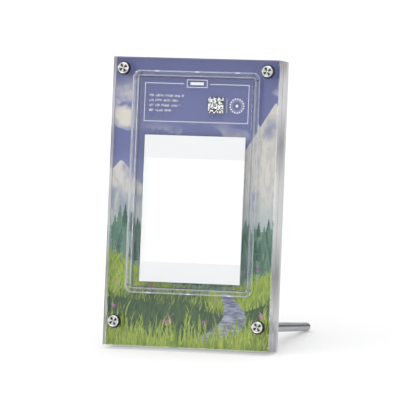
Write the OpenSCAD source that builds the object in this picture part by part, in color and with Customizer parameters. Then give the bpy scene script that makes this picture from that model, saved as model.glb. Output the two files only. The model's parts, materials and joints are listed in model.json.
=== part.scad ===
// Desk display frame for a graded trading card.
// Two clear acrylic plates clamp a printed sheet. The card's own clear case sits in
// a pocket behind the front plate. Two screws hold the top of the stack, and the two
// lower screws go right through it into the rear legs, which lean the frame back.
// Panel directions: X to the right, Y from the front face to the back, Z up the panel.

/* [Card] */
// Width of the card
card_w = 63.5; // [60:0.5:70]
// Height of the card
card_h = 88.9; // [80:0.1:100]
// Thickness of the card
card_t = 0.9; // [0.4:0.1:2]
// Free play round the card and the label in their wells
card_play = 0.3; // [0.2:0.05:0.6]
// Free play of the card and the label in thickness
well_play = 0.1; // [0.05:0.05:0.2]

/* [Card case] */
// Width of the case on each side of the label
case_side = 5; // [4:0.25:8]
// Distance from the bottom of the case to the bottom of the card
card_lift = 7.1; // [5:0.1:12]
// Width of the bar between the card and the label
bar_h = 4.6; // [2:0.1:8]
// Distance from the top of the case to the top of the label
label_drop = 4.4; // [4.2:0.1:8]
// Thickness of the case in front of the card and behind it
case_floor = 1.75; // [1.2:0.05:2.5]
// Radius of the case's corners
case_corner_r = 4.6; // [3.6:0.2:6]
// Width of the raised rim round the case
rim_w = 3.2; // [2.2:0.1:3.4]
// How far the rim stands above the case's faces
rim_rise = 0.6; // [0.3:0.1:1]
// Step along the outer edge of the rim
rim_step = 0.5; // [0.3:0.1:0.8]
// Extra radius of the rim's inner corners
rim_ease = 0.4; // [0.2:0.1:1]
// Free play round the case in its pocket
case_play = 0.2; // [0.1:0.05:0.4]
// Width of each finger notch in the rim
notch_w = 2.8; // [1.5:0.1:5]
// Spacing of the notches along the rim
notch_pitch = 25.5; // [18:0.5:30]

/* [Plates] */
// Width of the plates on each side of the case
side_margin = 12.5; // [11.5:0.5:20]
// Height of the plates above the case
top_margin = 7.8; // [6:0.2:20]
// Height of the plates below the case
foot_margin = 32.2; // [24:0.2:50]
// Thickness of the front plate in front of the case
skin_t = 2; // [1.2:0.1:4]
// Thickness of the back plate
back_t = 11.6; // [10:0.2:18]
// Bevel along the outer edges of the frame
edge_bevel = 0.5; // [0.4:0.1:1.8]
// Small bevel on both sides of the seam between the plates
seam_bevel = 0.3; // [0.1:0.1:0.6]

/* [Printed sheet] */
// Thickness of the printed sheet
sheet_t = 0.3; // [0.2:0.1:0.8]
// Thickness of the printed layer on the sheet
ink_t = 0.1; // [0.1:0.05:0.3]
// Gap between the sheet's edge and the edge of the plates
sheet_margin = 0.4; // [0.2:0.1:2]

/* [Label] */
// How far the clear label reaches past the card on each side
label_over = 3.25; // [1:0.25:4]
// Height of the clear label
label_h = 30; // [24:0.5:36]
// Thickness of the clear label
label_t = 0.5; // [0.3:0.1:0.8]
// Distance from the label's sides to the printed border
border_inset = 2; // [1:0.25:5]
// Distance from the label's top to the printed border
border_drop = 3; // [2.6:0.1:5]
// Distance from the label's bottom to the printed border
border_lift = 3.6; // [2:0.1:6]
// Thickness of the border's line
border_line = 0.35; // [0.3:0.05:1]
// Thickness of the white ink on the label
border_t = 0.05; // [0.02:0.01:0.05]
// Width of the small tablet at the top of the border
tablet_w = 13; // [8:0.5:20]
// Height of the small tablet
tablet_h = 4.8; // [3:0.1:5]
// Gap in the border on each side of the tablet
tablet_gap = 1.8; // [1:0.1:3]

/* [Screws] */
// Diameter of the screw heads
head_d = 7.2; // [6:0.1:8]
// Height of the screw heads
head_h = 1.8; // [1.2:0.1:3]
// Bevel round the face of a screw head
head_bevel = 0.4; // [0.2:0.05:0.6]
// How far the dark washers show round the heads
washer_rim = 0.5; // [0.1:0.1:0.6]
// Thickness of the washers
washer_t = 0.7; // [0.3:0.1:0.8]
// Diameter of the screws
thread_d = 3; // [2.5:0.5:4]
// Length of an upper screw in the back plate
plate_grip = 7; // [5:0.5:8.5]
// Length of a lower screw in its leg
leg_grip = 7; // [5:0.5:10]
// Depth of a tapped hole past its screw's end
hole_spare = 1; // [0.5:0.1:1.4]
// Radial gap between a screw and a plain hole
hole_play = 0.2; // [0.1:0.05:0.4]
// Radial gap between a screw and its tapped hole
fit_gap = 0.05; // [0.02:0.01:0.1]
// Distance from the plates' sides to the screws
screw_side = 7; // [5.5:0.1:8]
// Distance from the plates' top to the upper screws
screw_top = 7; // [5.5:0.1:8]
// Distance from the plates' bottom to the lower screws and the legs
screw_bottom = 14.5; // [13:0.5:20]

/* [Legs] */
// Length of a leg behind the back plate
leg_len = 87; // [70:1:110]
// Diameter of a leg where it meets the back plate
leg_root_d = 6; // [5.6:0.1:8]
// Diameter of a leg at its tip
leg_tip_d = 5.2; // [4:0.1:8]
// Bevel round a leg's tip
leg_bevel = 0.5; // [0.2:0.1:1]

/* [Artwork] */
// Height of the snow line of the far peaks, from the sheet's bottom
peak_level = 78; // [70:1:90]
// Height of the highest peak above that line
peak_rise = 72; // [50:1:78]
// Height of the far woods
wood_level = 66; // [58:1:72]
// Rise and fall of the woods' top
wood_roll = 6; // [0:0.5:8]
// Height of the treetops that notch the woods' outline
wood_tuft = 1.6; // [0:0.1:3]
// Height of the sunlit hills at the sides
hill_level = 52; // [44:1:56]
// Depth of the valley between the hills
hill_dip = 15; // [5:1:18]
// Rise and fall along the hills
hill_roll = 5; // [0:0.5:6]
// Height of the shaded meadow
meadow_level = 25; // [18:1:30]
// Rise and fall of the meadow's edge
meadow_roll = 3.5; // [0:0.5:5]
// Height of the bank that the reeds grow from
bank_level = 6; // [4:0.5:9]
// Rise and fall of the bank
bank_roll = 3; // [0:0.5:4]
// Height of the tallest reed
reed_h = 26; // [12:1:32]
// Spacing of the reeds
reed_pitch = 2.6; // [2:0.1:5]
// Width of a reed at its foot
reed_w = 2.2; // [1:0.1:3]
// How far a reed's tip bends over
reed_bend = 2.8; // [0:0.1:5]
// Width of the stream where it leaves the sheet
stream_w = 26; // [14:1:34]
// Height where the stream is lost between the hills
stream_top = 34; // [26:1:38]
// How far the stream swings to each side
stream_swing = 9; // [2:0.5:12]
// How far the stream moves to the right on its way up
stream_drift = 12; // [0:1:16]

/* [Hidden] */
$fn = 64;
cut = 1;

// Sizes that follow from the card outwards: label, case, plates, sheet
label_w = card_w + 2 * label_over;
border_w = label_w - 2 * border_inset;
border_h = label_h - border_drop - border_lift;
case_w = label_w + 2 * case_side;
case_h = card_lift + card_h + bar_h + label_h + label_drop;
case_t = card_t + 2 * (well_play + case_floor + rim_rise);
pocket_depth = case_t + case_play;
front_t = skin_t + pocket_depth;
film_t = ink_t + sheet_t;
seam_y = front_t + film_t;
stack_t = seam_y + back_t;
plate_w = case_w + 2 * side_margin;
plate_h = foot_margin + case_h + top_margin;
sheet_w = plate_w - 2 * sheet_margin;
sheet_h = plate_h - 2 * sheet_margin;

// The case and what it holds, in panel directions
case_z = foot_margin + case_h / 2;
case_split_y = front_t - case_t / 2;
card_z = foot_margin + card_lift + card_h / 2;
label_z = foot_margin + case_h - label_drop - label_h / 2;
border_z = label_z + (border_lift - border_drop) / 2;

// Screw places, from the front face backwards
screw_x = plate_w / 2 - screw_side;
screw_upper_z = plate_h - screw_top;
head_y = -washer_t - head_h;
washer_d = head_d + 2 * washer_rim;
plain_d = thread_d + 2 * hole_play;
tapped_d = thread_d + 2 * fit_gap;
leg_tip_y = stack_t + leg_len;

// Lean at which the leg tips and the lower back edge stand on the table together
lean = atan((screw_bottom - leg_tip_d / 2) / (leg_len - leg_bevel + edge_bevel));
function world_y(y, z) = y * cos(lean) + z * sin(lean);
head_reach = world_y(head_y, screw_bottom - head_d / 2 + head_bevel);
front_reach = min(head_reach, world_y(0, edge_bevel));
back_reach = world_y(leg_tip_y, screw_bottom + leg_tip_d / 2 - leg_bevel);
stand_y = -(front_reach + back_reach) / 2;
stand_z = (stack_t - edge_bevel) * sin(lean);

// Far peaks: place across the sheet, share of the highest one's rise, run per unit of rise
peaks = [[0.97, 1, 0.61], [0.72, 0.52, 0.9], [0.06, 0.48, 0.87], [0.3, 0.3, 1.2]];
// Points along the top of a field of ink, and along each bank of the stream
sharp_steps = 56;
soft_steps = 28;
bank_steps = 14;

// Leans the panel back and sets it on the table, centred over its own footprint
module stand() {
    translate([0, stand_y, stand_z]) rotate([-lean, 0, 0]) children();
}

// Extrudes an outline drawn in X and Z from y0 through thickness t
module sheet_at(y0, t) {
    translate([0, y0 + t, 0]) rotate([90, 0, 0]) linear_extrude(t) children();
}

module rounded_outline(w, h, r) {
    square([w - 2 * r, h], center = true);
    square([w, h - 2 * r], center = true);
    for (sx = [-1, 1], sz = [-1, 1])
        translate([sx * (w / 2 - r), sz * (h / 2 - r)]) circle(r);
}

// Round bar along Y from y0, through length l
module bar_y(d, y0, l) {
    translate([0, y0, 0]) rotate([-90, 0, 0]) cylinder(d = d, h = l);
}

module at_upper_screws() {
    for (sx = [-1, 1]) translate([sx * screw_x, 0, screw_upper_z]) children();
}

module at_lower_screws() {
    for (sx = [-1, 1]) translate([sx * screw_x, 0, screw_bottom]) children();
}

module at_screws() {
    at_upper_screws() children();
    at_lower_screws() children();
}

// Section of a plate with its two long corners cut: length along the first axis
function plate_section(len, t, front_c, back_c) = [
    [0, front_c], [front_c, 0], [len - front_c, 0], [len, front_c],
    [len, t - back_c], [len - back_c, t], [back_c, t], [0, t - back_c]];

// Plate whose front and back edges are bevelled all the way round
module bevelled_plate(t, front_c, back_c) {
    intersection() {
        translate([-plate_w / 2, 0, 0])
            linear_extrude(plate_h) polygon(plate_section(plate_w, t, front_c, back_c));
        translate([-plate_w / 2, 0, 0]) rotate([0, 90, 0]) rotate([0, 0, 90])
            linear_extrude(plate_w)
                polygon([for (p = plate_section(plate_h, t, front_c, back_c)) [p[1], p[0]]]);
    }
}

module front_plate() {
    color([0.86, 0.9, 0.93, 0.35]) stand() difference() {
        bevelled_plate(front_t, edge_bevel, seam_bevel);
        translate([0, 0, case_z]) sheet_at(front_t - pocket_depth, pocket_depth + cut)
            rounded_outline(case_w + 2 * case_play, case_h + 2 * case_play,
                case_corner_r + case_play);
        at_screws() bar_y(plain_d, -cut, front_t + 2 * cut);
    }
}

module back_plate() {
    color([0.84, 0.88, 0.91, 0.35]) stand() difference() {
        translate([0, seam_y, 0]) bevelled_plate(back_t, seam_bevel, edge_bevel);
        at_upper_screws() bar_y(tapped_d, seam_y - cut, plate_grip + hole_spare + cut);
        at_lower_screws() bar_y(plain_d, seam_y - cut, back_t + 2 * cut);
    }
}

// Outlines of the artwork, drawn from the sheet's left bottom corner
module sheet_outline() {
    square([sheet_w, sheet_h]);
}

// Closed outline under a list of heights at even steps across the sheet
function under(heights) = concat([[-cut, -cut]],
    [for (i = [0:len(heights) - 1]) [-cut + i * (sheet_w + 2 * cut) / (len(heights) - 1),
        heights[i]]], [[sheet_w + cut, -cut]]);
function across(steps) = [for (i = [0:steps]) i / steps];

// Heights of the fields' tops, where u runs from 0 to 1 across the sheet
function ridge(at, rise, run) = max(0, rise - abs(at) / run);
function peak_height(u) = peak_level
    + max([for (p = peaks) ridge((u - p[0]) * sheet_w, p[1] * peak_rise, p[2])]);
function wood_height(u) = wood_level + wood_roll * cos(323 * u + 20)
    + wood_tuft * abs(sin(2500 * u));
function hill_height(u) = hill_level - hill_dip * sin(180 * u) + hill_roll * cos(229 * u);
function meadow_height(u) = meadow_level + meadow_roll * (sin(354 * u + 40) + 0.4 * cos(729 * u));
function bank_height(u) = bank_level + bank_roll * cos(360 * u);

// Middle and half width of the stream, where v runs from 0 to 1 on its way up
function stream_x(v) = 0.63 * sheet_w + stream_swing * sin(238 * v - 30) + stream_drift * v;
function stream_half(v) = stream_w / 2 * (1 - 0.77 * v);
function stream_bank(side, v) = [stream_x(v) + side * stream_half(v), v * stream_top];

module peaks_outline() {
    polygon(under([for (u = across(sharp_steps)) peak_height(u)]));
}

module woods_outline() {
    polygon(under([for (u = across(sharp_steps)) wood_height(u)]));
}

module hills_outline() {
    polygon(under([for (u = across(soft_steps)) hill_height(u)]));
}

module meadow_outline() {
    polygon(under([for (u = across(soft_steps)) meadow_height(u)]));
}

module stream_outline() {
    polygon(concat([for (v = across(bank_steps)) stream_bank(-1, v)],
        [for (v = across(bank_steps)) stream_bank(1, 1 - v)]));
}

// One reed bends over at its tip; its height follows two clumps, left and right
module reed(i) {
    u = i * reed_pitch / sheet_w;
    clump = 0.45 + 0.55 * pow(cos(360 * u), 2);
    tall = reed_h * clump * (0.72 + 0.28 * sin(i * 97));
    tip = reed_bend * sin(i * 61);
    translate([i * reed_pitch, bank_height(u) - reed_w / 2]) polygon([[-reed_w / 2, 0],
        [-reed_w / 4 + tip * 0.35, tall * 0.6], [tip, tall],
        [reed_w / 4 + tip * 0.35, tall * 0.6], [reed_w / 2, 0]]);
}

module reeds_outline() {
    polygon(under([for (u = across(soft_steps)) bank_height(u)]));
    for (i = [0:floor(sheet_w / reed_pitch)]) reed(i);
}

// Printed layer: the first outline where the later ones don't cover it
module ink_field() {
    difference() {
        translate([-sheet_w / 2, 0, sheet_margin]) sheet_at(front_t, ink_t) difference() {
            intersection() {
                sheet_outline();
                children(0);
            }
            if ($children > 1) children([1:$children - 1]);
        }
        sheet_holes();
    }
}

module sheet_holes() {
    at_screws() bar_y(plain_d, front_t - cut, film_t + 2 * cut);
}

module print_sheet() {
    color("white") stand() difference() {
        translate([-sheet_w / 2, 0, sheet_margin]) sheet_at(front_t + ink_t, sheet_t)
            sheet_outline();
        sheet_holes();
    }
}

module print_sky() {
    color([0.43, 0.44, 0.63]) stand() ink_field() {
        sheet_outline();
        peaks_outline();
        woods_outline();
        hills_outline();
    }
}

module print_peaks() {
    color([0.8, 0.79, 0.74]) stand() ink_field() {
        peaks_outline();
        woods_outline();
        hills_outline();
    }
}

module print_woods() {
    color([0.42, 0.54, 0.53]) stand() ink_field() {
        woods_outline();
        hills_outline();
    }
}

module print_hills() {
    color([0.6, 0.68, 0.32]) stand() ink_field() {
        hills_outline();
        stream_outline();
        meadow_outline();
        reeds_outline();
    }
}

module print_meadow() {
    color([0.33, 0.43, 0.32]) stand() ink_field() {
        meadow_outline();
        stream_outline();
        reeds_outline();
    }
}

module print_stream() {
    color([0.47, 0.48, 0.57]) stand() ink_field() {
        stream_outline();
        reeds_outline();
    }
}

module print_reeds() {
    color([0.66, 0.73, 0.36]) stand() ink_field() {
        reeds_outline();
    }
}

// Half of the clear case, flat side at the middle plane and rim outwards towards -Y
module case_half() {
    half_t = case_t / 2;
    floor_t = half_t - rim_rise;
    difference() {
        union() {
            sheet_at(-half_t, half_t)
                rounded_outline(case_w - 2 * rim_step, case_h - 2 * rim_step,
                    case_corner_r - rim_step);
            sheet_at(-floor_t, floor_t) rounded_outline(case_w, case_h, case_corner_r);
        }
        sheet_at(-half_t - cut, rim_rise + cut)
            rounded_outline(case_w - 2 * rim_w, case_h - 2 * rim_w, case_corner_r - rim_w + rim_ease);
        translate([0, 0, card_z - case_z]) sheet_at(-card_t / 2 - well_play, card_t + cut)
            square([card_w + 2 * card_play, card_h + 2 * card_play], center = true);
        translate([0, 0, label_z - case_z]) sheet_at(-label_t / 2 - well_play, label_t + cut)
            square([label_w + 2 * card_play, label_h + 2 * card_play], center = true);
    }
}

module rim_notches() {
    for (i = [-1:1], sz = [-1, 1])
        translate([i * notch_pitch, -case_t / 2, sz * case_h / 2])
            cube([notch_w, 3 * rim_rise, 4 * rim_step], center = true);
}

module case_front_shell() {
    color([0.9, 0.93, 0.96, 0.35]) stand() translate([0, case_split_y, case_z]) difference() {
        case_half();
        rim_notches();
    }
}

module case_back_shell() {
    color([0.88, 0.91, 0.94, 0.35]) stand() translate([0, case_split_y, case_z])
        rotate([0, 0, 180]) case_half();
}

module label_film() {
    color([0.92, 0.94, 0.97, 0.35]) stand() translate([0, 0, label_z])
        sheet_at(case_split_y - label_t / 2, label_t) square([label_w, label_h], center = true);
}

// Line round a rectangle, inside its given size
module outline_line(w, h) {
    difference() {
        square([w, h], center = true);
        square([w - 2 * border_line, h - 2 * border_line], center = true);
    }
}

module label_border() {
    color("white") stand() translate([0, 0, border_z])
        sheet_at(case_split_y - label_t / 2 - border_t, border_t) {
            difference() {
                outline_line(border_w, border_h);
                translate([0, border_h / 2])
                    square([tablet_w + 2 * tablet_gap, tablet_h], center = true);
            }
            translate([0, border_h / 2]) outline_line(tablet_w, tablet_h);
        }
}

module card() {
    color("white") stand() translate([0, 0, card_z])
        sheet_at(case_split_y - card_t / 2, card_t) square([card_w, card_h], center = true);
}

// Turned screw: bevelled head in front of the washer, plain shank to its end
module cap_screw(shank_end) {
    r = head_d / 2;
    rotate([-90, 0, 0]) rotate_extrude() polygon([[0, head_y], [r - head_bevel, head_y],
        [r, head_y + head_bevel], [r, -washer_t], [thread_d / 2, -washer_t],
        [thread_d / 2, shank_end], [0, shank_end]]);
}

module upper_screws() {
    color("gainsboro") stand() at_upper_screws() cap_screw(seam_y + plate_grip);
}

module lower_screws() {
    color("gainsboro") stand() at_lower_screws() cap_screw(stack_t + leg_grip);
}

module screw_washers() {
    color([0.12, 0.11, 0.12]) stand() at_screws() difference() {
        bar_y(washer_d, -washer_t, washer_t);
        bar_y(tapped_d, -washer_t - cut, washer_t + 2 * cut);
    }
}

// Tapered leg, seated on the back plate and tapped for the lower screw
module leg() {
    bore_r = tapped_d / 2;
    bore_end = stack_t + leg_grip + hole_spare;
    rotate([-90, 0, 0]) rotate_extrude() polygon([[bore_r, stack_t], [leg_root_d / 2, stack_t],
        [leg_tip_d / 2, leg_tip_y - leg_bevel], [leg_tip_d / 2 - leg_bevel, leg_tip_y],
        [0, leg_tip_y], [0, bore_end], [bore_r, bore_end]]);
}

module left_leg() {
    color("silver") stand() translate([-screw_x, 0, screw_bottom]) leg();
}

module right_leg() {
    color("silver") stand() translate([screw_x, 0, screw_bottom]) leg();
}

front_plate();
back_plate();
print_sheet();
print_sky();
print_peaks();
print_woods();
print_hills();
print_meadow();
print_stream();
print_reeds();
case_front_shell();
case_back_shell();
label_film();
label_border();
card();
upper_screws();
lower_screws();
screw_washers();
left_leg();
right_leg();
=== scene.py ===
# %% [markdown]
# A desk frame of clear acrylic for a trading card in its own case.
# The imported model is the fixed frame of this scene: it says where every piece is. This
# script gives each piece its finish, and adds the fine print, the threads and the turned
# faces that are too small for the model.

# %% Load the frame
import bmesh
import bpy
import json
import math
import numpy as np
from mathutils import Matrix, Vector


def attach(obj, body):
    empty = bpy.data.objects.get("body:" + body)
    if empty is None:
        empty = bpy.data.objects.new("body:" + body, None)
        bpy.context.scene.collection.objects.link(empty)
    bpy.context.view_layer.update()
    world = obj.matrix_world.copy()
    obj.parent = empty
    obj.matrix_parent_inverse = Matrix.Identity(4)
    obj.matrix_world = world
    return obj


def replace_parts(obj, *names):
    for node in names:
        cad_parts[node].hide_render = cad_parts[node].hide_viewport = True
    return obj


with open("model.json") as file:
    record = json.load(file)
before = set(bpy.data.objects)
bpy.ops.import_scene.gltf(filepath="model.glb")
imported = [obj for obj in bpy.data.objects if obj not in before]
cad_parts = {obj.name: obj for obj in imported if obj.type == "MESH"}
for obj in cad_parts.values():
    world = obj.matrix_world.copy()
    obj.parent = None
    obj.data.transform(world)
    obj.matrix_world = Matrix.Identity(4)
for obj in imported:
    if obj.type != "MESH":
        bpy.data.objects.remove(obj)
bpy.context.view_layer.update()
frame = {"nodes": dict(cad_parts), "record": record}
MM = 0.001
print("nodes:", ", ".join(sorted(frame["nodes"])))

# %% [markdown]
# The panel leans back on its legs. Everything on it is easier to place in the panel's own
# directions: x to the right, y from the front face to the back, z up the panel, all in
# millimetres. The lean is read from the mount on the bottom face, and the panel's corner is
# found by turning the front plate upright, so nothing here repeats a size by hand.

# %% The panel's own directions
foot_mount = frame["record"]["mounts"][0]
LEAN = math.atan2(-foot_mount["axis"][1], -foot_mount["axis"][2])
UPRIGHT = Matrix.Rotation(LEAN, 4, "X")


def upright_points(node):
    """A node's corners in millimetres, turned upright but not yet moved."""
    mesh = frame["nodes"][node].data
    co = np.empty(len(mesh.vertices) * 3, np.float32)
    mesh.vertices.foreach_get("co", co)
    return co.reshape(-1, 3) @ np.array(UPRIGHT.to_3x3()).T / MM


front_points = upright_points("front_plate")
CORNER = Vector((0.0, float(front_points[:, 1].min()), float(front_points[:, 2].min())))
TO_ROW = UPRIGHT.inverted() @ Matrix.Translation(CORNER * MM) @ Matrix.Scale(MM, 4)


def panel_box(node):
    """Lowest and highest corner of a node in the panel's directions, in millimetres."""
    points = upright_points(node) - np.array(CORNER)
    return points.min(0), points.max(0)


plate_low, plate_high = panel_box("front_plate")
back_low, back_high = panel_box("back_plate")
PLATE_W, PLATE_H = plate_high[0] - plate_low[0], plate_high[2] - plate_low[2]
STACK_T = back_high[1]


def screw_spots(node):
    """Centres of the two screws of a node, and the radius of their heads."""
    low, high = panel_box(node)
    radius = (high[2] - low[2]) / 2
    return [(side * (high[0] - radius), high[2] - radius) for side in (-1, 1)], radius


SCREW_SPOTS = screw_spots("upper_screws")[0] + screw_spots("lower_screws")[0]
HEAD_R = screw_spots("upper_screws")[1]
print(f"panel {PLATE_W:.1f} x {PLATE_H:.1f} x {STACK_T:.1f} mm,",
      f"lean {math.degrees(LEAN):.2f} degrees")

# %% [markdown]
# The camera comes first, because every later choice is judged through it. It was fitted to
# the outer corners, the screws and the card: a long lens from the right, a little above.

# %% Camera
CAMERA_AZIMUTH = math.radians(17.34)
CAMERA_ELEVATION = math.radians(6.8)
CAMERA_DISTANCE = 2.5
CAMERA_TARGET = Vector((0.00726, -0.02996, 0.08534))
FOCAL_PIXELS = 4131
PHOTO_PIXELS = 416
SENSOR_WIDTH = 36
VIEW_END = 20

scene = bpy.context.scene
camera = bpy.data.objects.new("camera", bpy.data.cameras.new("camera"))
scene.collection.objects.link(camera)
towards_camera = Vector((
    math.sin(CAMERA_AZIMUTH) * math.cos(CAMERA_ELEVATION),
    -math.cos(CAMERA_AZIMUTH) * math.cos(CAMERA_ELEVATION),
    math.sin(CAMERA_ELEVATION)))
camera.location = CAMERA_TARGET + towards_camera * CAMERA_DISTANCE
camera.rotation_euler = (-towards_camera).to_track_quat("-Z", "Y").to_euler()
camera.data.sensor_width = SENSOR_WIDTH
camera.data.lens = FOCAL_PIXELS * SENSOR_WIDTH / PHOTO_PIXELS
camera.data.clip_end = VIEW_END
scene.camera = camera
print(f"lens {camera.data.lens:.0f} mm")

# %% [markdown]
# Shader maths reads best as maths. A Wire is one output of a node, and sums and products of
# wires add the Math nodes that they need. The reflected forms are there too, so that one
# minus a mask works.

# %% Wires


class Wire:
    """An output socket that can be added, multiplied and compared like a number."""

    def __init__(self, paint, socket):
        self.paint = paint
        self.socket = socket

    def math(self, operation, other=0.0, swapped=False):
        pair = (other, self) if swapped else (self, other)
        return self.paint.add("Math", {"operation": operation}, {0: pair[0], 1: pair[1]})

    def __add__(self, other): return self.math("ADD", other)
    def __radd__(self, other): return self.math("ADD", other)
    def __sub__(self, other): return self.math("SUBTRACT", other)
    def __rsub__(self, other): return self.math("SUBTRACT", other, swapped=True)
    def __mul__(self, other): return self.math("MULTIPLY", other)
    def __rmul__(self, other): return self.math("MULTIPLY", other)
    def __truediv__(self, other): return self.math("DIVIDE", other)
    def __abs__(self): return self.math("ABSOLUTE")
    def __gt__(self, other): return self.math("GREATER_THAN", other)

    def smooth(self, low, high):
        """0 at low, 1 at high, and a soft step between them; low may be the larger one."""
        sockets = {"Value": self, "From Min": low, "From Max": high}
        return self.paint.add("MapRange", {"interpolation_type": "SMOOTHSTEP"}, sockets)


print("wires ready")

# %% [markdown]
# A Paint is a material under construction. Its add method makes one node, sets it up and
# wires it, and it stands for every kind of node but the Math nodes, which the wires add.

# %% Paints


class Paint:
    """The node tree of a material or a world, built one call at a time."""

    def __init__(self, name, kind="Material"):
        self.kind = kind
        self.owner = getattr(bpy.data, kind.lower() + "s").new(name)
        self.owner.use_nodes = True
        self.tree = self.owner.node_tree
        self.tree.nodes.clear()

    def add(self, kind, settings=None, sockets=None, out=0):
        """One node: its settings come first, then the values or links of its sockets."""
        node = self.tree.nodes.new("ShaderNode" + kind)
        stops = (settings or {}).pop("stops", None)
        for key, value in (settings or {}).items():
            setattr(node, key, value)
        if stops:
            ramp = node.color_ramp.elements
            while len(ramp) < len(stops):
                ramp.new(0.5)
            for element, (position, colour) in zip(ramp, stops):
                element.position = position
                element.color = colour
        for key, value in (sockets or {}).items():
            if isinstance(key, int):
                socket = node.inputs[key]
            else:
                socket = next(s for s in node.inputs if s.name == key and s.enabled)
            if isinstance(value, Wire):
                self.tree.links.new(value.socket, socket)
            else:
                socket.default_value = value
        found = [s for s in node.outputs if s.enabled and (s.name == out or out == 0)]
        return Wire(self, found[0])

    def mix(self, factor, low, high):
        """Colour low where the factor is 0, colour high where it is 1."""
        sockets = {"Factor": factor, "A": low, "B": high}
        return self.add("Mix", {"data_type": "RGBA"}, sockets)

    def surface(self, shader):
        """Ends the tree in its output, and hands back the finished material or world."""
        output = self.tree.nodes.new("ShaderNodeOutput" + self.kind)
        self.tree.links.new(shader.socket, output.inputs["Surface"])
        return self.owner


print("paints ready")

# %% [markdown]
# Patterns are laid in the panel's own millimetres, from Object coordinates: the Mapping node
# turns a point of the leaning panel upright. So a stripe or a grain has its real size, and
# stays where it is on the piece from every side.

# %% Colours, places and noise


def colour(code):
    """A linear colour from its web code."""
    channels = [int(code[i:i + 2], 16) / 255 for i in (1, 3, 5)]
    linear = [c / 12.92 if c <= 0.04045 else ((c + 0.055) / 1.055) ** 2.4 for c in channels]
    return (*linear, 1.0)


def panel_place(paint):
    """The shaded point in the panel's directions, in millimetres."""
    point = paint.add("TexCoord", out="Object")
    sockets = {"Vector": point, "Location": -CORNER, "Rotation": (LEAN, 0, 0),
               "Scale": (1 / MM, 1 / MM, 1 / MM)}
    return paint.add("Mapping", None, sockets)


def axes_of(paint, place):
    """The three numbers of a place, each as a wire of its own."""
    return [paint.add("SeparateXYZ", None, {"Vector": place}, out=axis) for axis in "XYZ"]


def stretched(paint, place, x, y, z, turn=0.0):
    """The same place with each direction scaled, and turned about the panel's normal."""
    sockets = {"Vector": place, "Scale": (x, y, z), "Rotation": (0, turn, 0)}
    return paint.add("Mapping", None, sockets)


def noise(paint, place, scale, detail=3.0, roughness=0.55):
    """Cloudy noise around 0.5; scale is in cells per unit of the place."""
    sockets = {"Vector": place, "Scale": scale, "Detail": detail, "Roughness": roughness}
    return paint.add("TexNoise", None, sockets)


def dress(material, *nodes):
    """Gives a material to nodes whose shape is right as it is."""
    for node in nodes:
        frame["nodes"][node].data.materials.clear()
        frame["nodes"][node].data.materials.append(material)


print("noise, places and colours ready")

# %% [markdown]
# Clear acrylic is a dielectric with an index of 1.49: light bends at every face, and the
# bevels and the milled pocket show only through that bending. The light that reaches the
# print through the plates would need caustics, so shadow rays and the rays that leave the
# print pass straight through, and no light is counted twice. The mirror value weakens the
# reflections of the thin parts, which lie in several layers over the print and would veil it.

# %% Clear plastic
CLEAR = (0.995, 0.998, 1.0, 1.0)
ACRYLIC_IOR, CASE_IOR, FILM_IOR = 1.49, 1.46, 1.3
WEAK_MIRROR = 0.12


def clear_shader(paint, roughness, ior, normal=None, mirror=1.0):
    """Clear plastic; mirror weakens its reflections, as a coat against glare does."""
    sockets = {"Base Color": CLEAR, "Roughness": roughness, "IOR": ior,
               "Transmission Weight": 1.0, "Specular Tint": (mirror, mirror, mirror, 1.0)}
    if normal is not None:
        sockets["Normal"] = normal
    body = paint.add("BsdfPrincipled", None, sockets)
    passing = paint.add("BsdfTransparent", None, {"Color": CLEAR})
    shadow = paint.add("LightPath", out="Is Shadow Ray")
    unlit = shadow.math("MAXIMUM", paint.add("LightPath", out="Is Diffuse Ray"))
    return paint.add("MixShader", None, {0: unlit, 1: body, 2: passing})


print("clear plastic ready")

# %% [markdown]
# The plates are sawn and then only lightly polished, so their edges are satin, with fine streaks
# that run up the cut. Light and dark grey bands up the cut are painted reflections of the
# surroundings: a ramp of a few greys over the height, tuned by looking at renders, under the
# streaks. A sawn edge also glows a little with the light inside the plate, so part of it is a
# Translucent shader. That shader has one plain colour, and only the coat over it varies. The
# strip along the back is a painted highlight, nearly white.

# %% Acrylic plates
# Painted reflections of the surroundings on the sawn edges: greys by share of the height.
PAINTED_REFLECTION_GREYS = ((0.0, "#8a8a94"), (0.04, "#cac8d0"), (0.08, "#acacb1"), (0.13, "#f7f7f8"),
         (0.26, "#87878b"), (0.4, "#fcfcfb"), (0.58, "#fcfcfb"), (0.71, "#878a8d"),
         (0.84, "#ffffff"), (0.94, "#fcfcfb"), (1.0, "#9a9a9d"))
SAWN_SKIN = 0.05
SAWN_COVER, SAWN_GLOW, SHADOW_SHARE = 0.86, 0.4, 0.5
# Depths where the painted highlight along the back of the sawn edge fades in.
REAR_PAINTED_HIGHLIGHT = (STACK_T - 4.8, STACK_T - 3.6)


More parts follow.
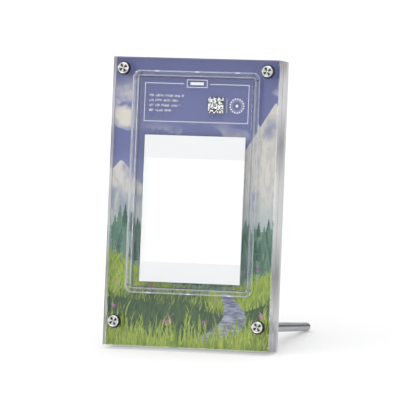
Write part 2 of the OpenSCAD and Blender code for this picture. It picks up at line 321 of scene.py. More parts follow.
def acrylic_material():
    paint = Paint("clear_acrylic")
    place = panel_place(paint)
    x, y, z = axes_of(paint, place)
    side = abs(x) > PLATE_W / 2 - SAWN_SKIN
    end = abs(z - PLATE_H / 2) > PLATE_H / 2 - SAWN_SKIN
    edge = side.math("MAXIMUM", end)
    along_side = noise(paint, stretched(paint, place, 0.02, 1.0, 0.01), 1.6, 2.0)
    along_end = noise(paint, stretched(paint, place, 0.01, 1.0, 0.02), 1.6, 2.0)
    streaks = side * along_side + end * along_end
    normal = paint.add("Bump", None, {"Strength": 0.05, "Distance": 0.2 * MM, "Height": streaks})
    clear = clear_shader(paint, 0.01 + 0.3 * edge, ACRYLIC_IOR, normal)
    drift = noise(paint, stretched(paint, place, 0.01, 0.06, 0.02), 1.0, 1.0)
    along = z / PLATE_H + 0.08 * (drift - 0.5)
    # Painted reflections up the cut, and a painted highlight along the back of the edge.
    stops = [(share, colour(code)) for share, code in PAINTED_REFLECTION_GREYS]
    painted_reflections = paint.add("ValToRGB", {"stops": stops}, {0: along}, out="Color")
    rear_painted_highlight = y.smooth(*REAR_PAINTED_HIGHLIGHT)
    grey = paint.mix(rear_painted_highlight * 0.8 + 0.25 * (streaks - 0.5), painted_reflections, colour("#f7f7f7"))
    outer = paint.add("BsdfPrincipled", None, {"Base Color": grey, "Roughness": 0.42,
                                               "Normal": normal})
    inner = paint.add("BsdfTranslucent", None, {"Color": colour("#e2e2e3")})
    sawn = paint.add("MixShader", None, {0: SAWN_GLOW, 1: outer, 2: inner})
    lit = 1 - SHADOW_SHARE * paint.add("LightPath", out="Is Shadow Ray")
    cover = SAWN_COVER * edge * lit
    return paint.surface(paint.add("MixShader", None, {0: cover, 1: clear, 2: sawn}))


dress(acrylic_material(), "front_plate", "back_plate")
print("plates dressed,", len(PAINTED_REFLECTION_GREYS), "stops in the bloom")

# %% [markdown]
# The card's case is moulded. What the eye reads of a clear moulding are its edges, and here
# their light and shade are painted by the distance from the case's rounded outline: painted
# highlights as a bright line outside the rim, a softer one inside it, a faint sheen on the rim's
# face and small glints at the moulded notches, and painted shade as a dark line beside the rim
# and at the turns of the outline.

# %% Moulded case and label film
CASE_LOW, CASE_HIGH = panel_box("case_front_shell")
RIM = {"width": 3.2, "corner": 4.6, "notch": 25.5}
NOTCH_HALF = 2.0


def case_edges(paint, place):
    """How much painted highlight, and how much painted dark line, the case's edge has at a point.
    """
    x, _, z = axes_of(paint, place)
    middle, half_h = (CASE_HIGH[2] + CASE_LOW[2]) / 2, (CASE_HIGH[2] - CASE_LOW[2]) / 2
    across = abs(x) - (CASE_HIGH[0] - RIM["corner"])
    along = abs(z - middle) - (half_h - RIM["corner"])
    right, up = across.math("MAXIMUM", 0.0), along.math("MAXIMUM", 0.0)
    outside = (right * right + up * up).math("SQRT")
    depth = RIM["corner"] - outside - across.math("MAXIMUM", along).math("MINIMUM", 0.0)

    def line(value, at, half_width):
        return 1 - abs(value - at).smooth(0.4 * half_width, half_width)

    on_rim = depth.smooth(RIM["width"] + 0.1, RIM["width"] - 0.1)
    notch = line(abs(x), RIM["notch"], NOTCH_HALF) + line(x, 0.0, NOTCH_HALF)
    glint = notch * line(depth, 0.3, 0.6) * (along > 0.0)
    turns = line(across, 0.0, 0.6) * (along > 0.0) + line(along, 0.0, 0.6) * (across > 0.0)
    # Painted highlights: the rim's outer and inner lines, a faint sheen on the rim, glints at the
    # notches; painted shade: a dark line beside the rim and at the turns.
    light = (0.3 * line(depth, 0.25, 0.5) + 0.22 * line(depth, RIM["width"] - 0.2, 0.45)
             + 0.03 * on_rim + 0.5 * glint)
    dark = 0.36 * line(depth, RIM["width"] + 0.45, 0.5) + 0.3 * turns * on_rim
    return light, dark


def case_material(name, strength):
    """Clear in its faces; at the edges, painted highlights and dark lines, their strength varied
    by noise.
    """
    paint = Paint(name)
    place = panel_place(paint)
    ripple = noise(paint, place, 0.06, 1.0)
    normal = paint.add("Bump", None, {"Strength": 0.05, "Distance": 0.3 * MM, "Height": ripple})
    clear = clear_shader(paint, 0.02 + 0.03 * ripple, CASE_IOR, normal, WEAK_MIRROR)
    light, dark = case_edges(paint, place)
    # The painted edge lines: pale where they stand for highlight, dark where they stand for shade.
    base = paint.mix(dark / (light + dark + 0.001), colour("#dcdfe8"), colour("#34384c"))
    painted_edge_lines = paint.add("BsdfPrincipled", None, {"Base Color": base, "Roughness": 0.45})
    patchy_strength = noise(paint, place, 0.12, 2.0)
    amount = (light + dark) * (strength * (0.7 + 0.6 * patchy_strength))
    return paint.surface(paint.add("MixShader", None, {0: amount, 1: clear, 2: painted_edge_lines}))


def label_film_material():
    paint = Paint("label_film")
    grain = noise(paint, panel_place(paint), 0.8, 2.0)
    return paint.surface(clear_shader(paint, 0.03 + 0.05 * grain, FILM_IOR, mirror=WEAK_MIRROR))


case_front = case_material("case_front_plastic", 1.0)
case_back = case_material("case_back_plastic", 0.4)
dress(label_film_material(), "label_film")
print(f"case {CASE_HIGH[0] - CASE_LOW[0]:.1f} x {CASE_HIGH[2] - CASE_LOW[2]:.1f} mm ready")

# %% [markdown]
# Where two solids touch face to face, a ray tracer can't tell which face it met first, and
# behind clear plastic that shows as dirt. Real sheets never touch everywhere either. So the
# sheet, its fields of ink and the two halves of the case are copied with the touching faces
# drawn back by a few hundredths of a millimetre, and the copies stand for the solids.

# %% Copies that clear their neighbours


def drawn_back(node, limits, material):
    """A copy of a node that keeps between two depths of the panel."""
    piece = bpy.data.objects.new(node + "_drawn", frame["nodes"][node].data.copy())
    scene.collection.objects.link(piece)
    piece.data.transform(TO_ROW.inverted())
    for vertex in piece.data.vertices:
        vertex.co.y = min(max(vertex.co.y, limits[0]), limits[1])
    piece.data.transform(TO_ROW)
    piece.data.materials.clear()
    piece.data.materials.append(material)
    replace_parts(piece, node)
    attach(piece, "root")


HAIR = 0.02
INK_FRONT, INK_BACK = panel_box("print_sky")[0][1], panel_box("print_sky")[1][1]
INK_DEPTH = INK_BACK - INK_FRONT
FIELD_LIMITS = (INK_FRONT + 0.6 * INK_DEPTH, INK_BACK - 0.1 * INK_DEPTH)
CASE_SPLIT = panel_box("case_front_shell")[1][1]
CASE_FRONT = panel_box("case_front_shell")[0][1]
CASE_BACK = panel_box("case_back_shell")[1][1]
print(f"ink from {INK_FRONT:.2f} to {INK_BACK:.2f} mm, case split at {CASE_SPLIT:.2f} mm")

# %% [markdown]
# The print is a generic landscape: a violet sky with heaped cloud, pale peaks, a line of
# woods, sunlit hills, a shaded meadow with a stream, and reeds along the lower edge. Each
# field of ink is a flat solid, and its brushwork is noise in the panel's own millimetres.
# Photo paper behind a plate has little shine of its own, so its specular level is low.

# %% Ink for the sky, the peaks and the woods
INK_SHINE = 0.2
CLEAR_HALF = (43, 37)


def ink(paint, base):
    """Satin printed paper: the given colour with a fine grain in its gloss."""
    grain = noise(paint, panel_place(paint), 6.0, 1.0)
    sockets = {"Base Color": base, "Roughness": 0.5 + 0.05 * grain,
               "Specular IOR Level": INK_SHINE}
    return paint.surface(paint.add("BsdfPrincipled", None, sockets))


def sky_ink():
    """Violet sky with heaped cloud: round cells, bitten at their rims by noise.

    The cloud stays out of the top and out of the middle, where the label's print lies over it.
    """
    paint = Paint("ink_sky")
    place = panel_place(paint)
    x, _, z = axes_of(paint, place)
    height = z / PLATE_H
    stops = [(0.42, colour("#b3bcc8")), (0.54, colour("#8d96b8")), (0.68, colour("#6d73a1")),
             (1.0, colour("#686e9d"))]
    clear = paint.add("ValToRGB", {"stops": stops}, {0: height}, out="Color")
    heaps = paint.add("TexVoronoi", {"feature": "SMOOTH_F1"},
                      {"Vector": stretched(paint, place, 0.05, 1.0, 0.075, 0.1), "Scale": 1.0,
                       "Smoothness": 0.6, "Randomness": 1.0}, out="Distance")
    rims = noise(paint, place, 0.13, 4.0, 0.5)
    banks = noise(paint, stretched(paint, place, 0.014, 1.0, 0.03), 1.0, 1.0)
    body = (0.5 - heaps) + 0.55 * (rims - 0.5) + 1.5 * (banks - 0.46)
    behind_label = height.smooth(0.68, 0.8) * abs(x).smooth(*CLEAR_HALF)
    clear_sky = behind_label.math("MAXIMUM", height.smooth(0.86, 0.95))
    cloud = body.smooth(0.0, 0.1) * (1 - clear_sky)
    shade = noise(paint, stretched(paint, place, 0.06, 1.0, 0.1, 0.3), 1.0, 3.0)
    lit = (shade * 0.7 + body * 0.6).smooth(0.35, 0.62)
    billows = paint.mix(lit, colour("#a3a4be"), colour("#ddd8cd"))
    return ink(paint, paint.mix(cloud, clear, billows))


def peaks_ink():
    """Snow over rock: square facets, thin gullies between them, and haze at the foot."""
    paint = Paint("ink_peaks")
    place = panel_place(paint)
    _, _, z = axes_of(paint, place)
    cells = paint.add("TexVoronoi", {"distance": "MANHATTAN"},
                      {"Vector": stretched(paint, place, 0.07, 1.0, 0.045, 0.5), "Scale": 1.0,
                       "Randomness": 0.9}, out="Distance")
    rough = noise(paint, place, 0.12, 4.0)
    facet = (cells * 0.7 + rough * 0.5).smooth(0.42, 0.72)
    gully = abs(noise(paint, stretched(paint, place, 0.16, 1.0, 0.05, 0.45), 1.0, 4.0) - 0.5)
    snow = paint.mix(facet, colour("#8f92ac"), colour("#d3d0c8"))
    rock = paint.mix(gully.smooth(0.06, 0.0) * 0.28, snow, colour("#8587a2"))
    haze = (z / PLATE_H).smooth(0.34, 0.62)
    return ink(paint, paint.mix(haze, colour("#a6b3b6"), rock))


def woods_ink():
    paint = Paint("ink_woods")
    place = panel_place(paint)
    trunks = noise(paint, stretched(paint, place, 0.9, 1.0, 0.16), 0.5, 4.0)
    return ink(paint, paint.mix(trunks.smooth(0.35, 0.65), colour("#5f8072"), colour("#84a292")))


print("ink for the sky, the peaks and the woods ready")

# %% [markdown]
# The lower fields share one recipe with their own colours: noise that is drawn out along the
# blades, over slow patches of light and shade. The stream's noise is drawn out across it.

# %% Ink for the grass and the stream, and the fields laid


def grass_ink(name, dark, light, scale):
    """Blades as noise drawn out upwards, over slow patches of light."""
    paint = Paint(name)
    place = panel_place(paint)
    blades = noise(paint, stretched(paint, place, 1.4, 1.0, 0.22, 0.12), scale, 4.0, 0.6)
    patches = noise(paint, place, 0.05, 2.0)
    mask = (blades * 0.7 + patches * 0.4).smooth(0.42, 0.68)
    return ink(paint, paint.mix(mask, colour(dark), colour(light)))


def stream_ink():
    paint = Paint("ink_stream")
    place = panel_place(paint)
    ripple = noise(paint, stretched(paint, place, 0.12, 1.0, 0.9, 0.1), 1.0, 3.0)
    return ink(paint, paint.mix(ripple.smooth(0.4, 0.62), colour("#6b6f8a"), colour("#a9acbd")))


FIELDS = {
    "print_sky": ("ink_sky", sky_ink()),
    "print_peaks": ("ink_peaks", peaks_ink()),
    "print_woods": ("ink_woods", woods_ink()),
    "print_hills": ("ink_hills", grass_ink("ink_hills", "#738b40", "#a6b954", 0.5)),
    "print_meadow": ("ink_meadow", grass_ink("ink_meadow", "#3e5543", "#52694b", 0.4)),
    "print_stream": ("ink_stream", stream_ink()),
    "print_reeds": ("ink_reeds", grass_ink("ink_reeds", "#6b8440", "#9fb356", 0.7)),
}
for node, (slot, material) in FIELDS.items():
    drawn_back(node, FIELD_LIMITS, material)
sheet_paper = ink(Paint("sheet_paper"), colour("#e9e9ea"))
drawn_back("print_sheet", (INK_BACK, back_low[1] - HAIR), sheet_paper)
drawn_back("case_front_shell", (CASE_FRONT, CASE_SPLIT - HAIR / 2), case_front)
drawn_back("case_back_shell", (CASE_SPLIT + HAIR / 2, CASE_BACK - HAIR), case_back)
print(len(FIELDS), "fields of ink laid")

# %% [markdown]
# Reeds, conifers and blossom repeat by the hundred, so Geometry Nodes strew them. One small
# tree does it for every motif: points are spread over a patch, those low on the sheet are
# brought forward by a hair so that near leaves overlap far ones, and each point gets a flat
# shape with its own size, tilt and tone. Realize Instances and Set Material end the tree.

# %% A tree that strews flat shapes


def flat_mesh(name, outline):
    """A single face in the panel's plane, from points in x and z."""
    mesh = bpy.data.meshes.new(name)
    mesh.from_pydata([(x, 0, z) for x, z in outline], [], [range(len(outline))])
    return bpy.data.objects.new(name, mesh)


def tree_input(tree, name, kind, value=None):
    """Adds a named input to a tree, and hands back the identifier that sets it."""
    socket = tree.interface.new_socket(name, in_out="INPUT", socket_type="NodeSocket" + kind)
    if value is not None:
        socket.default_value = value
    return socket.identifier


def strew_tree():
    """The tree, and the identifiers of its inputs by their names."""
    tree = bpy.data.node_groups.new("strew_flat_shapes", "GeometryNodeTree")
    tree_input(tree, "Patch", "Geometry")
    names = {}
    for name, kind, value in (
            ("Shape", "Object", None), ("Material", "Material", None), ("Density", "Float", 0.1),
            ("Smallest", "Float", 0.6), ("Largest", "Float", 1.0), ("Tilt", "Float", 0.3),
            ("Depth", "Float", 0.05), ("Top", "Float", 30.0), ("Seed", "Int", 1)):
        names[name] = tree_input(tree, name, kind, value)
    tree.interface.new_socket("Shapes", in_out="OUTPUT", socket_type="NodeSocketGeometry")

    def add(kind, settings=None, **sockets):
        node = tree.nodes.new(kind)
        for key, value in (settings or {}).items():
            setattr(node, key, value)
        for key, value in sockets.items():
            socket = next(s for s in node.inputs if s.name == key.replace("_", " ") and s.enabled)
            if hasattr(value, "is_output"):
                tree.links.new(value, socket)
            else:
                socket.default_value = value
        return node

    def result(node, name):
        return next(s for s in node.outputs if s.name == name and s.enabled)

    given = tree.nodes.new("NodeGroupInput").outputs

    def chance(low, high, shift):
        """A number for each point; shift keeps one draw apart from the next."""
        seed = add("ShaderNodeMath", {"operation": "ADD"})
        tree.links.new(given["Seed"], seed.inputs[0])
        seed.inputs[1].default_value = shift
        node = add("FunctionNodeRandomValue", {"data_type": "FLOAT"}, Min=low, Max=high,
                   Seed=seed.outputs[0])
        return result(node, "Value")

    points = add("GeometryNodeDistributePointsOnFaces", None, Mesh=given["Patch"],
                 Density=given["Density"], Seed=given["Seed"])
    where = add("ShaderNodeSeparateXYZ", None, Vector=add("GeometryNodeInputPosition").outputs[0])
    lift = add("ShaderNodeMapRange", None, Value=where.outputs["Z"], From_Min=0.0,
               From_Max=given["Top"], To_Min=given["Depth"], To_Max=0.0)
    forward = add("ShaderNodeMath", {"operation": "MULTIPLY"})
    tree.links.new(lift.outputs["Result"], forward.inputs[0])
    forward.inputs[1].default_value = -1.0
    offset = add("ShaderNodeCombineXYZ", None, Y=forward.outputs[0])
    layered = add("GeometryNodeSetPosition", None, Geometry=points.outputs["Points"],
                  Offset=offset.outputs[0])
    low_tilt = add("ShaderNodeMath", {"operation": "MULTIPLY"})
    tree.links.new(given["Tilt"], low_tilt.inputs[0])
    low_tilt.inputs[1].default_value = -1.0
    turn = add("ShaderNodeCombineXYZ", None,
               Y=chance(low_tilt.outputs[0], given["Tilt"], 11))
    shape = add("GeometryNodeObjectInfo", None, Object=given["Shape"])
    placed = add("GeometryNodeInstanceOnPoints", None, Points=layered.outputs[0],
                 Instance=shape.outputs["Geometry"], Rotation=turn.outputs[0],
                 Scale=chance(given["Smallest"], given["Largest"], 23))
    toned = add("GeometryNodeStoreNamedAttribute", {"data_type": "FLOAT", "domain": "INSTANCE"},
                Geometry=placed.outputs[0], Name="tone", Value=chance(0.0, 1.0, 37))
    real = add("GeometryNodeRealizeInstances", None, Geometry=toned.outputs[0])
    painted = add("GeometryNodeSetMaterial", None, Geometry=real.outputs[0],
                  Material=given["Material"])
    out = tree.nodes.new("NodeGroupOutput")
    tree.links.new(painted.outputs[0], out.inputs[0])
    return tree, names


STREW, STREW_INPUTS = strew_tree()
print("strewing tree with", len(STREW.nodes), "nodes")

# %% [markdown]
# Strewn shapes run over the edge of the print and over the screw holes. Points past the edge
# are pushed back to it, and faces that come near a hole or end up with no area are deleted.
# The result is a plain mesh, set into the row's frame, so the modifier isn't needed any more.

# %% Strewing a patch, and trimming it
HOLE_CLEAR = 1.8
LEAST_AREA = 1e-4
IN_FRONT = 0.004
SHEET_EDGE = panel_box("print_sky")[1][0]
SHEET_LOW = panel_box("print_reeds")[0][2]


def trim_to_sheet(mesh):
    """Cuts shapes off at the edge of the print, and clears the screw holes."""
    edit = bmesh.new()
    edit.from_mesh(mesh)
    for vertex in edit.verts:
        vertex.co.x = min(max(vertex.co.x, -SHEET_EDGE), SHEET_EDGE)
        vertex.co.z = max(vertex.co.z, SHEET_LOW)
    at_hole = [face for face in edit.faces if any(
        math.hypot(v.co.x - x, v.co.z - z) < HOLE_CLEAR
        for v in face.verts for x, z in SCREW_SPOTS)]
    flat = [face for face in edit.faces
            if face.calc_area() < LEAST_AREA and face not in at_hole]
    bmesh.ops.delete(edit, geom=at_hole + flat, context="FACES")
    edit.to_mesh(mesh)
    edit.free()


def strew(name, ground, slot, **settings):
    """Fills a patch of ground with flat shapes, sets them in the row frame, lets them ride."""
    scene.collection.objects.link(ground)
    modifier = ground.modifiers.new("strew", "NODES")
    modifier.node_group = STREW
    for key, value in settings.items():
        modifier[STREW_INPUTS[key]] = value
    evaluated = ground.evaluated_get(bpy.context.evaluated_depsgraph_get())
    mesh = bpy.data.meshes.new_from_object(evaluated)
    bpy.data.objects.remove(ground)
    mesh.transform(Matrix.Translation((0, FIELD_LIMITS[0] - IN_FRONT, 0)))
    trim_to_sheet(mesh)
    mesh.transform(TO_ROW)
    piece = bpy.data.objects.new(name, mesh)
    scene.collection.objects.link(piece)
    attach(piece, "root")
    print(name, len(mesh.polygons), "faces")


print(f"shapes are trimmed at {SHEET_EDGE:.1f} mm from the middle")

# %% [markdown]
# The motifs are single flat faces, each from a short rule: a blade tapers and bends, a
# conifer steps in under each tier of branches, and a blossom is a rose curve. Their ink
# takes its tone from the number that the tree stored on each shape.

# %% Outlines and inks of the motifs


def leaf_outline(height, width, bend, steps=7):
    """A blade that tapers to a point and bends to one side."""
    ts = [i / steps for i in range(steps)]
    left = [(bend * t * t - width / 2 * (1 - t) ** 0.8, height * t) for t in ts]
    right = [(bend * t * t + width / 2 * (1 - t) ** 0.8, height * t) for t in reversed(ts)]
    return left + [(bend, height)] + right


def conifer_outline(height, width, tiers=5):
    """Half the outline steps in under each tier of branches, and the other half mirrors it."""
    half = [(width * 0.05, 0), (width * 0.05, height * 0.08)]
    for i in range(tiers):
        low = i / tiers
        reach = width / 2 * (1 - low)
        half += [(reach, height * (0.08 + 0.92 * low)),
                 (reach * 0.5, height * (0.08 + 0.92 * (low + 0.75 / tiers)))]
    return half + [(0, height)] + [(-x, z) for x, z in reversed(half)]


def blossom_outline(radius, petals=5):
    """A rose curve, with six points to a petal."""
    steps = petals * 6
    turn = [2 * math.pi * i / steps for i in range(steps)]
    return [(radius * (0.62 + 0.38 * math.cos(petals * a)) * math.cos(a),
             radius * (0.62 + 0.38 * math.cos(petals * a)) * math.sin(a)) for a in turn]


def toned_ink(name, dark, light):
    """Ink whose colour changes from shape to shape, and a little along each shape."""
    paint = Paint(name)
    tone = paint.add("Attribute", {"attribute_name": "tone"}, out="Fac")
    fleck = noise(paint, panel_place(paint), 0.35, 2.0)
    factor = (tone * 0.8 + fleck * 0.5 - 0.15).smooth(0.0, 1.0)
    return ink(paint, paint.mix(factor, colour(dark), colour(light)))


SHAPES = {
    "blade_right": flat_mesh("blade_right", leaf_outline(9, 1.0, 2.6)),
    "blade_left": flat_mesh("blade_left", leaf_outline(8, 0.9, -2.2)),
    "reed_right": flat_mesh("reed_right", leaf_outline(17, 1.5, 4.2)),
    "reed_left": flat_mesh("reed_left", leaf_outline(14, 1.4, -3.6)),
    "conifer": flat_mesh("conifer", conifer_outline(15, 6.5)),
    "blossom": flat_mesh("blossom", blossom_outline(1.5)),
}
TONES = {
    "conifer": toned_ink("conifer_ink", "#38584d", "#6a8b7a"),
    "hill": toned_ink("hill_blade_ink", "#748e40", "#abbe58"),
    "meadow": toned_ink("meadow_blade_ink", "#374e3e", "#566f4a"),
    "reed": toned_ink("reed_blade_ink", "#728a40", "#b4c45c"),
    "blossom": toned_ink("blossom_ink", "#ae4fa2", "#d273c2"),
}
print(len(SHAPES), "motifs in", len(TONES), "inks")

# %% [markdown]
# The planting plan is a table, so a motif is moved or thinned by one number. Most motifs
# grow on their own field of ink. The shaded middle of the meadow and the blossom have
# plain oblong patches instead.

# %% Planting


def oblong(x0, x1, z0, z1):
    return flat_mesh("patch", [(x0, z0), (x1, z0), (x1, z1), (x0, z1)])


def patch_of(node):
    """The front faces of a field of ink, in the panel's directions, flattened to y = 0."""
    ground = bpy.data.objects.new(node + "_patch", frame["nodes"][node].data.copy())
    ground.data.transform(TO_ROW.inverted())
    edit = bmesh.new()
    edit.from_mesh(ground.data)
    bmesh.ops.remove_doubles(edit, verts=edit.verts, dist=0.001)
    edit.normal_update()
    others = [face for face in edit.faces if face.normal.y > -0.9]
    bmesh.ops.delete(edit, geom=others, context="FACES")
    for vertex in edit.verts:
        vertex.co.y = 0
    edit.to_mesh(ground.data)
    edit.free()
    return ground


BLOSSOM_REACH = SHEET_EDGE - 1.0
LAYER_DEPTH, LAYER_TOP = 0.05, 80.0
PLANTING = (
    ("conifers", patch_of("print_woods"), "ink_woods", "conifer", "conifer",
     dict(Density=0.07, Smallest=0.45, Largest=1.1, Tilt=0.03, Seed=4)),
    ("hill_blades_right", patch_of("print_hills"), "ink_hills", "blade_right", "hill",
     dict(Density=0.22, Smallest=0.35, Largest=0.8, Tilt=0.35, Seed=11)),
    ("hill_blades_left", patch_of("print_hills"), "ink_hills", "blade_left", "hill",
     dict(Density=0.2, Smallest=0.35, Largest=0.8, Tilt=0.35, Seed=12)),
    ("meadow_blades_right", patch_of("print_meadow"), "ink_meadow", "blade_right", "meadow",
     dict(Density=0.16, Smallest=0.4, Largest=1.0, Tilt=0.3, Seed=21)),
    ("meadow_blades_left", patch_of("print_meadow"), "ink_meadow", "blade_left", "meadow",
     dict(Density=0.16, Smallest=0.4, Largest=1.0, Tilt=0.3, Seed=22)),
    ("shade_blades_right", oblong(-44, 9, 17, 33), "ink_meadow", "blade_right", "meadow",
     dict(Density=0.42, Smallest=0.4, Largest=0.9, Tilt=0.3, Seed=23)),
    ("shade_blades_left", oblong(-36, 13, 17, 31), "ink_meadow", "blade_left", "meadow",
     dict(Density=0.42, Smallest=0.4, Largest=0.9, Tilt=0.3, Seed=24)),
    ("reed_blades_right", patch_of("print_reeds"), "ink_reeds", "reed_right", "reed",
     dict(Density=0.2, Smallest=0.3, Largest=0.6, Tilt=0.2, Seed=31)),
    ("reed_blades_left", patch_of("print_reeds"), "ink_reeds", "reed_left", "reed",
     dict(Density=0.2, Smallest=0.3, Largest=0.6, Tilt=0.2, Seed=32)),
    ("blossoms", oblong(-BLOSSOM_REACH, BLOSSOM_REACH, 14, 50), "ink_reeds", "blossom", "blossom",
     dict(Density=0.009, Smallest=0.6, Largest=1.5, Tilt=3.0, Seed=43)),
)
for name, ground, slot, shape, tone, settings in PLANTING:
    strew(name, ground, slot, Shape=SHAPES[shape], Material=TONES[tone], Depth=LAYER_DEPTH,
          Top=LAYER_TOP, **settings)

# %% [markdown]
# Screws, and the small print on the label, repeat by a plan instead of by chance. A second
# small tree sets out copies of one item on given points, each with its own turn, size and
# tone, and again ends in Realize Instances and Set Material.

# %% Setting out copies by a plan


def set_out_tree():
    """The tree, and the identifiers of its inputs by their names."""
    tree = bpy.data.node_groups.new("set_out_copies", "GeometryNodeTree")
    tree_input(tree, "Places", "Geometry")
    names = {name: tree_input(tree, name, kind) for name, kind in
             (("Item", "Object"), ("Finish", "Material"))}
    tree.interface.new_socket("Copies", in_out="OUTPUT", socket_type="NodeSocketGeometry")
    given = tree.nodes.new("NodeGroupInput").outputs
    item = tree.nodes.new("GeometryNodeObjectInfo")
    tree.links.new(given["Item"], item.inputs["Object"])
    copies = tree.nodes.new("GeometryNodeInstanceOnPoints")
    tree.links.new(given["Places"], copies.inputs["Points"])
    tree.links.new(item.outputs["Geometry"], copies.inputs["Instance"])
    for attribute, socket in (("turn", "Rotation"), ("size", "Scale")):
        stored = tree.nodes.new("GeometryNodeInputNamedAttribute")
        stored.data_type = "FLOAT_VECTOR"
        stored.inputs["Name"].default_value = attribute
        found = next(s for s in stored.outputs if s.enabled and s.name == "Attribute")
        tree.links.new(found, copies.inputs[socket])
    real = tree.nodes.new("GeometryNodeRealizeInstances")
    tree.links.new(copies.outputs[0], real.inputs[0])
    finish = tree.nodes.new("GeometryNodeSetMaterial")
    tree.links.new(real.outputs[0], finish.inputs["Geometry"])
    tree.links.new(given["Finish"], finish.inputs["Material"])
    tree.links.new(finish.outputs[0], tree.nodes.new("NodeGroupOutput").inputs[0])
    return tree, names


SET_OUT, SET_OUT_INPUTS = set_out_tree()


def set_out(name, item, places, material):
    """Copies of an item at (x, y, z, turn about y, width, height, tone) in the panel."""
    mesh = bpy.data.meshes.new(name)
    mesh.from_pydata([place[:3] for place in places], [], [])
    for key, values in (("turn", [(0, p[3], 0) for p in places]),
                        ("size", [(p[4], 1, p[5]) for p in places])):
        stored = mesh.attributes.new(key, "FLOAT_VECTOR", "POINT")
        stored.data.foreach_set("vector", [v for row in values for v in row])
    tone = mesh.attributes.new("tone", "FLOAT", "POINT")
    tone.data.foreach_set("value", [p[6] for p in places])
    points = bpy.data.objects.new(name + "_points", mesh)
    scene.collection.objects.link(points)
    modifier = points.modifiers.new("set_out", "NODES")
    modifier.node_group = SET_OUT
    modifier[SET_OUT_INPUTS["Item"]] = item
    modifier[SET_OUT_INPUTS["Finish"]] = material
    evaluated = points.evaluated_get(bpy.context.evaluated_depsgraph_get())
    made = bpy.data.meshes.new_from_object(evaluated)
    bpy.data.objects.remove(points)
    made.transform(TO_ROW)
    piece = bpy.data.objects.new(name, made)
    scene.collection.objects.link(piece)
    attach(piece, "root")
    print(name, len(places), "copies,", len(made.polygons), "faces")
    return piece


print("setting-out tree with", len(SET_OUT.nodes), "nodes")

# %% [markdown]
# A cap screw is turned from bar: the tool leaves fine rings on the face, a small dimple in
# the middle, a shallow groove and a rounded edge. The rings are real here, and so is the
# thread. It is a ridge that climbs one pitch for each turn, made by letting the radius depend
# on both depth and angle.

# %% The shape of a cap screw
DIMPLE = ((0.06, 0.12), (0.012, 0.4))
FACE_RINGS, RING_PITCH, RING_HEIGHT, RING_START = 12, 0.2, 0.006, 0.45
GROOVE = ((0.02, 2.88), (0.09, 2.92), (0.09, 3.0), (0.0, 3.06))
EDGE_ROUND, SEAT_BREAK = 0.42, 0.08
THREAD_PITCH, THREAD_DEPTH, THREAD_R, THREAD_END, TIP_R = 0.5, 0.27, 1.5, 0.4, 0.9
TURN_STEPS, CURVE_STEPS = 48, 6


def head_profile(front, seat):
    """Depth and radius of the head, from the dimple round to the shank."""
    profile = [(front + depth, r) for depth, r in DIMPLE]
    for i in range(FACE_RINGS * CURVE_STEPS):
        r = RING_START + RING_PITCH * i / CURVE_STEPS
        height = RING_HEIGHT * math.cos(2 * math.pi * i / CURVE_STEPS)
        profile.append((front + RING_HEIGHT - height, r))
    profile += [(front + depth, r) for depth, r in GROOVE]
    for i in range(CURVE_STEPS + 1):
        a = math.pi / 2 * i / CURVE_STEPS
        profile.append((front + EDGE_ROUND * (1 - math.cos(a)),
                        HEAD_R - EDGE_ROUND * (1 - math.sin(a))))
    return profile + [(seat - SEAT_BREAK, HEAD_R), (seat, HEAD_R - SEAT_BREAK), (seat, THREAD_R)]


def thread_rows(seat, end, angles):
    """Rings of points down the shank; the ridge moves round by one step from ring to ring."""
    rows = []
    for i in range(1, int((end - seat - THREAD_END) / THREAD_PITCH * CURVE_STEPS)):
        y = seat + THREAD_PITCH * i / CURVE_STEPS
        ridge = [abs(2 * ((i / CURVE_STEPS + k / TURN_STEPS) % 1) - 1) for k in range(TURN_STEPS)]
        rows.append([((THREAD_R - THREAD_DEPTH * d) * math.cos(a), y,
                      (THREAD_R - THREAD_DEPTH * d) * math.sin(a)) for a, d in zip(angles, ridge)])
    return rows


def turned_screw(name, front, seat, end):
    """Rings of points about the y axis, joined by faces and closed at both ends."""
    angles = [2 * math.pi * k / TURN_STEPS for k in range(TURN_STEPS)]
    rows = [[(r * math.cos(a), y, r * math.sin(a)) for a in angles]
            for y, r in head_profile(front, seat)]
    rows += thread_rows(seat, end, angles)
    rows.append([(TIP_R * math.cos(a), end, TIP_R * math.sin(a)) for a in angles])
    points = [point for row in rows for point in row]
    faces = []
    for row in range(len(rows) - 1):
        for k in range(TURN_STEPS):
            a, b = row * TURN_STEPS + k, row * TURN_STEPS + (k + 1) % TURN_STEPS
            faces.append((a, b, b + TURN_STEPS, a + TURN_STEPS))
    faces.append(tuple(reversed(range(TURN_STEPS))))
    last = (len(rows) - 1) * TURN_STEPS
    faces.append(tuple(range(last, last + TURN_STEPS)))
    mesh = bpy.data.meshes.new(name)
    mesh.from_pydata(points, [], faces)
    edit = bmesh.new()
    edit.from_mesh(mesh)
    bmesh.ops.recalc_face_normals(edit, faces=edit.faces)
    edit.to_mesh(mesh)
    edit.free()
    mesh.polygons.foreach_set("use_smooth", [True] * len(mesh.polygons))
    return bpy.data.objects.new(name, mesh)


print("a head of", len(head_profile(0, 1)), "rings of points")

# %% [markdown]
# Turned faces show light and dark fans of reflected light. At this size they are only a few
# pixels, and the rings alone give too few of them, so four dark wedges of painted reflection lie
# between bright ones, by the angle round each screw. The outer edge has a painted dark rim of
# shade.

# %% The finish of a cap screw, and the screws
# Four dark wedges of painted reflection on each face, and a painted dark rim of shade at its edge.
WEDGES, WEDGE_TURN = 4, math.radians(32)
WEDGE_SOFT, WEDGE_INNER, WEDGE_OUTER = (-0.4, 0.65), (0.2, 0.6), (2.8, 2.3)
PAINTED_DARK_RIM, PAINTED_DARK_RIM_SHARE = (3.22, 3.45), 0.85


